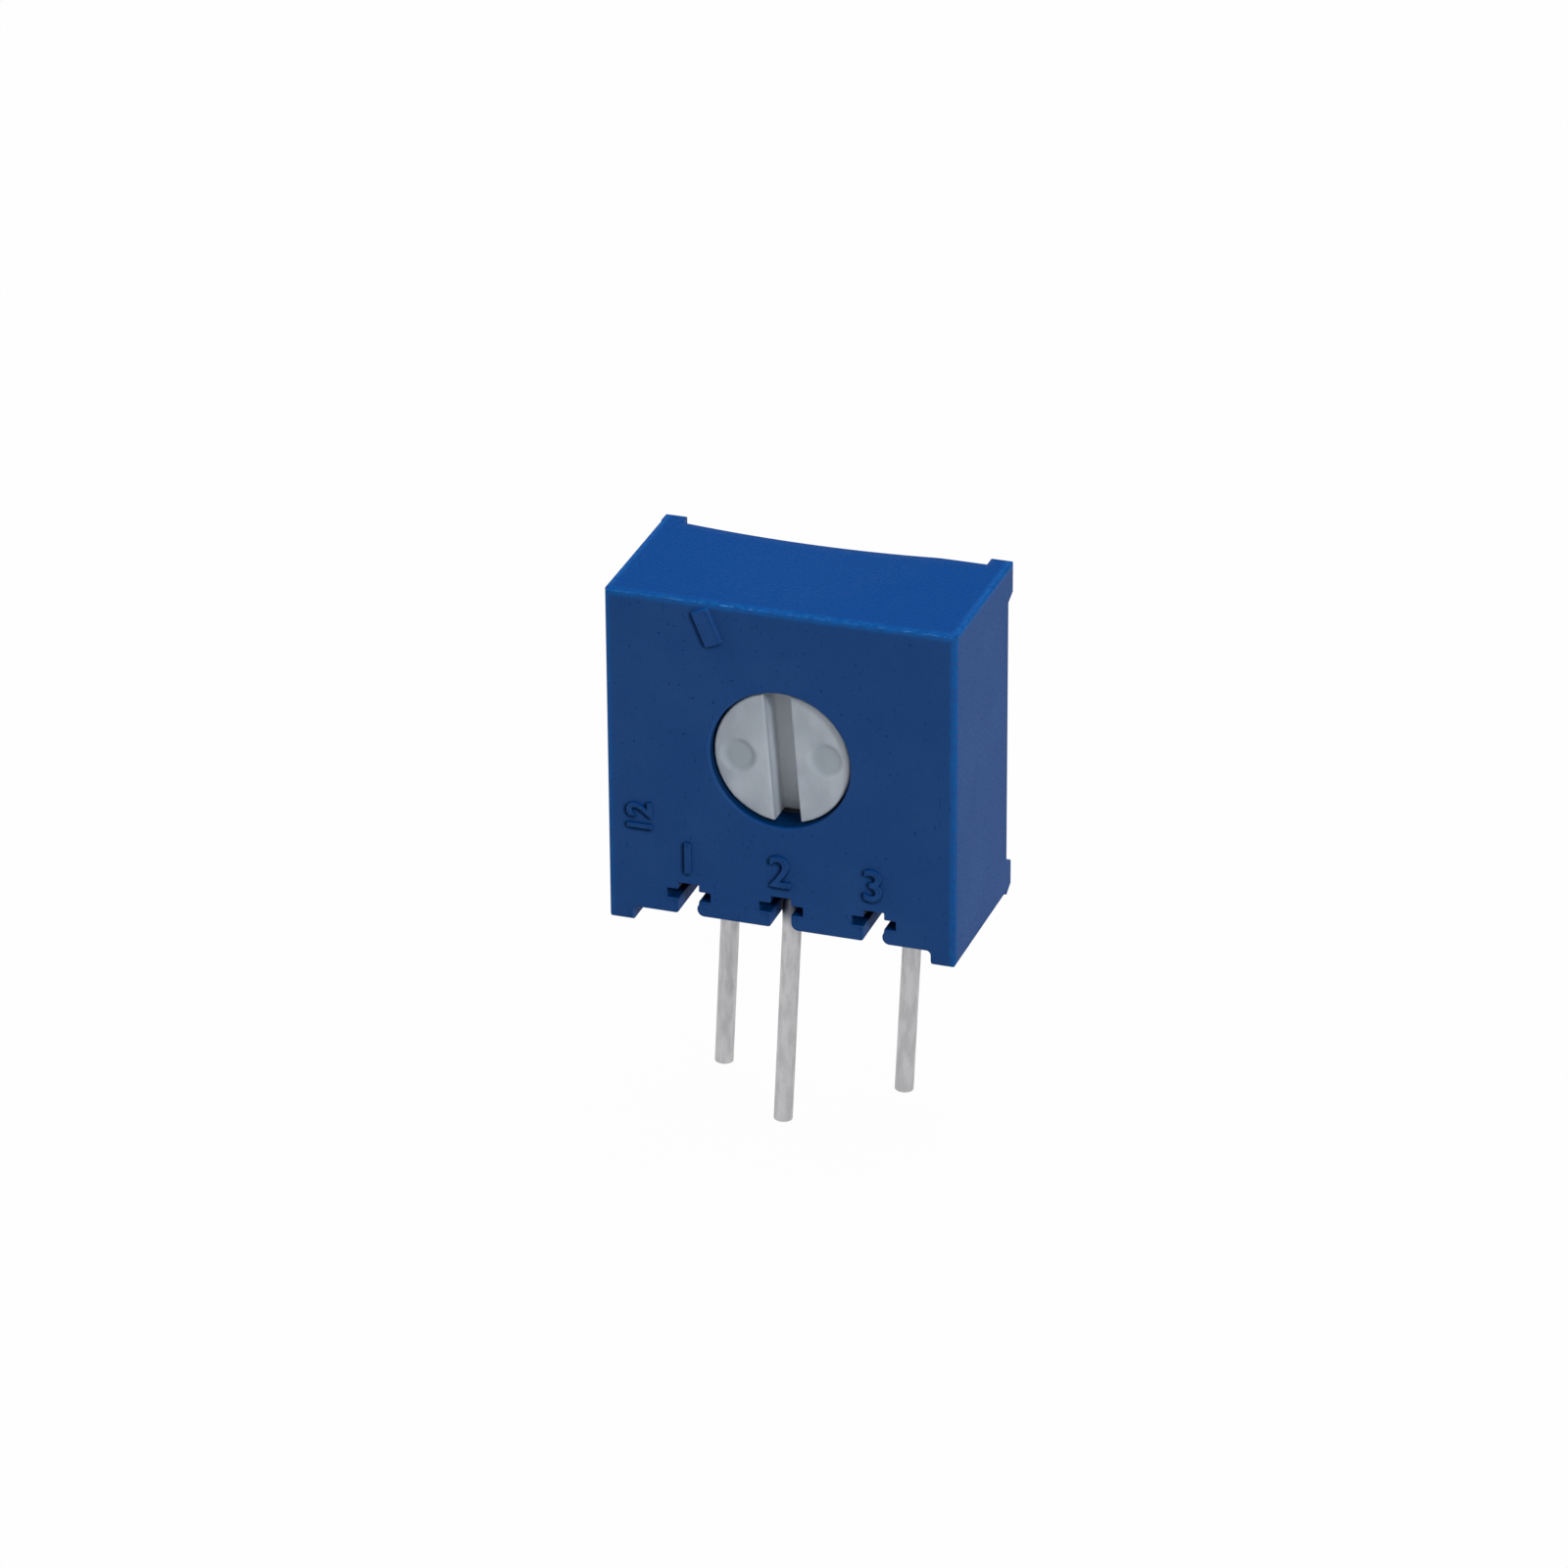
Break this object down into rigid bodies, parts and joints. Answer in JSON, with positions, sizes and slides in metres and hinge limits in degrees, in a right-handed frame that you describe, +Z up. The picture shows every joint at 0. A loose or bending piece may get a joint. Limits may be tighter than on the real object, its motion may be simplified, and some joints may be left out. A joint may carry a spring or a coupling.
{
  "type": "trimmer potentiometer",
  "caption": "Square single-turn trimmer potentiometer standing on edge, with a slotted adjuster in its face, grooved underside, rear standoffs and wire leads.",
  "frame": {"origin": "axis of the middle lead at the board plane, level with the undersides of the two rails", "axes": "+Z up from the board, -Y towards the adjustment face, +X to the right along the row of leads"},
  "size_m": [0.0096, 0.0049, 0.0152],
  "materials": {
    "housing_plastic": "moulded, fine satin",
    "rotor_plastic": "moulded, satin",
    "seal_rubber": "matt",
    "spring_metal": "bright spring sheet",
    "alumina": "fired, matt",
    "track_film": "fired film, satin",
    "print_metal": "fired silver film",
    "tinned_wire": "tinned, dull",
    "solder": "smooth solder",
    "resin": "cast resin"
  },
  "bodies": {
    "case": {"housing": "housing_plastic", "ceramic_plate": "alumina", "resistance_track": "track_film", "collector_print": "print_metal", "end_print_1": "print_metal", "end_print_3": "print_metal", "lead_1": "tinned_wire", "lead_2": "tinned_wire", "lead_3": "tinned_wire", "solder_1": "solder", "solder_2": "solder", "solder_3": "solder", "sealing_compound": "resin"},
    "adjuster": {"rotor": "rotor_plastic", "rotor_seal": "seal_rubber", "wiper_contact": "spring_metal"}
  },
  "joints": [
    {"name": "adjuster_turn", "type": "hinge", "parent": "case", "child": "adjuster", "pos_m": [0, 0, 0.00529], "axis": [0, 1, 0], "range_deg": [-145.4, 154.6]}
  ]
}
